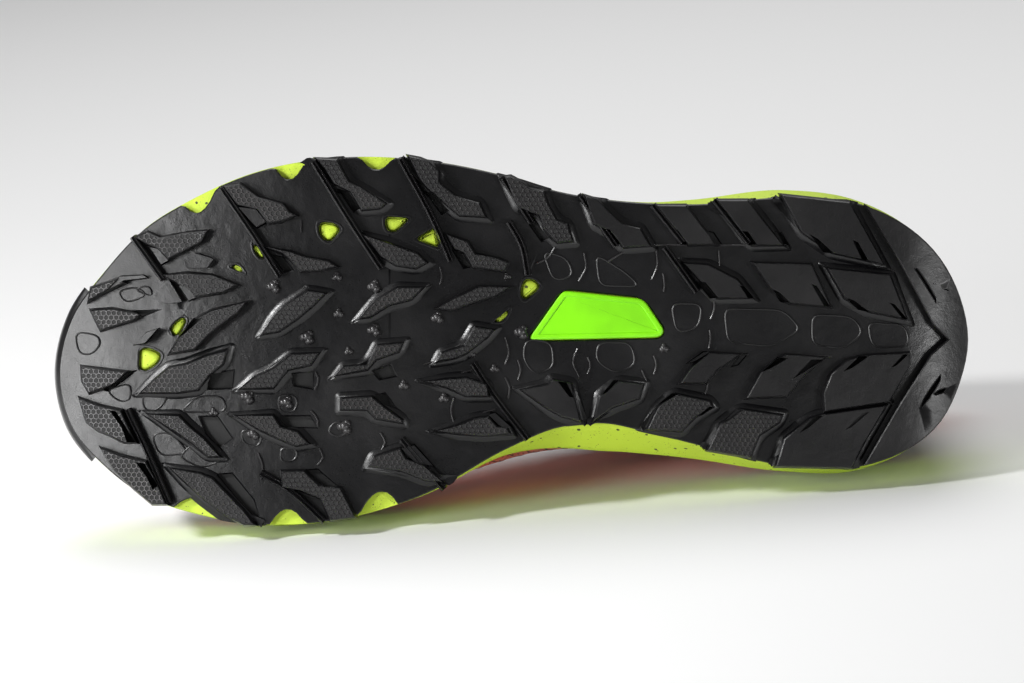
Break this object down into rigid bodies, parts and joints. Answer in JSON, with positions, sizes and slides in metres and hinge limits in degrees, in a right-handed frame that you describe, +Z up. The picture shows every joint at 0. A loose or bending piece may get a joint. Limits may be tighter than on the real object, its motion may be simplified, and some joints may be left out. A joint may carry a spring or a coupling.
{
  "type": "trail running shoe",
  "caption": "Left trail running shoe with a lugged rubber outsole, thick foam midsole and a hollow laced mesh upper, lying on its inner side.",
  "frame": {"origin": "centre of the bounding box, at the floor that the shoe lies on", "axes": "+X from toe to heel, +Y from the tread towards the collar, +Z up; the shoe's outer side is up and its own up axis leans about 12 degrees below +Y"},
  "size_m": [0.2938, 0.1186, 0.1172],
  "materials": {
    "rubber": "black moulded rubber, semi-gloss, cell-textured lug tops",
    "foam": "matte neon yellow-green foam with fine black speckles",
    "insert": "bright green smooth plastic, bare",
    "mesh_cloth": "orange-red engineered mesh",
    "overlay": "dark welded film, satin",
    "lining": "dark grey brushed textile",
    "lace": "black woven lace with a neon fleck"
  },
  "bodies": {
    "root": {"outsole": "rubber", "midsole": "foam", "sole_insert": "insert", "insole": "lining", "upper": "mesh_cloth", "toe_cap": "overlay", "heel_counter": "overlay", "eyestay": "overlay", "tongue": "lining", "laces": "lace", "pull_loop": "lace"}
  },
  "joints": []
}
